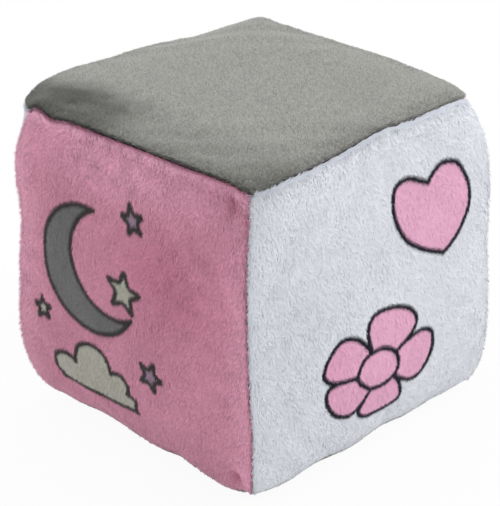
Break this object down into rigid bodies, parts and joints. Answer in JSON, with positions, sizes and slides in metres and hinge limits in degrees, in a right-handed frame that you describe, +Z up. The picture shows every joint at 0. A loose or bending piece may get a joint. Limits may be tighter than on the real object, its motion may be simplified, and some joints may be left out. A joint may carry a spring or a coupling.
{
  "type": "soft fabric block",
  "caption": "Soft stuffed baby block: a plush cube of six sewn panels over fibre filling, with a rattle capsule and loose pellets inside.",
  "frame": {"origin": "under the middle of the block, on the surface that it stands on", "axes": "+Z up through the grey top panel, -Y out of the pink front panel, +X out of the white right panel"},
  "size_m": [0.13, 0.13, 0.1285],
  "materials": {
    "grey_plush": "short pile polyester plush",
    "pink_plush": "short pile polyester plush, printed",
    "white_plush": "short pile polyester plush, printed",
    "fibre_filling": "loose polyester fibre",
    "capsule_plastic": "moulded polypropylene",
    "pellet_plastic": "moulded polypropylene"
  },
  "bodies": {
    "block": {"panel_top": "grey_plush", "panel_bottom": "grey_plush", "panel_front": "pink_plush", "panel_back": "pink_plush", "panel_right": "white_plush", "panel_left": "white_plush", "filling_lower": "fibre_filling", "filling_upper": "fibre_filling", "rattle_cup": "capsule_plastic", "rattle_lid": "capsule_plastic"},
    "pellet_1": {"rattle_pellet_1": "pellet_plastic"},
    "pellet_2": {"rattle_pellet_2": "pellet_plastic"},
    "pellet_3": {"rattle_pellet_3": "pellet_plastic"},
    "pellet_4": {"rattle_pellet_4": "pellet_plastic"},
    "pellet_5": {"rattle_pellet_5": "pellet_plastic"}
  },
  "joints": [
    {"name": "pellet_1_hop", "type": "slide", "parent": "block", "child": "pellet_1", "axis": [0, 0, 1], "range_m": [0, 0.0199]},
    {"name": "pellet_2_hop", "type": "slide", "parent": "block", "child": "pellet_2", "axis": [0, 0, 1], "range_m": [0, 0.0199]},
    {"name": "pellet_3_hop", "type": "slide", "parent": "block", "child": "pellet_3", "axis": [0, 0, 1], "range_m": [0, 0.0199]},
    {"name": "pellet_4_hop", "type": "slide", "parent": "block", "child": "pellet_4", "axis": [0, 0, 1], "range_m": [0, 0.0199]},
    {"name": "pellet_5_hop", "type": "slide", "parent": "block", "child": "pellet_5", "axis": [0, 0, 1], "range_m": [0, 0.0199]}
  ]
}
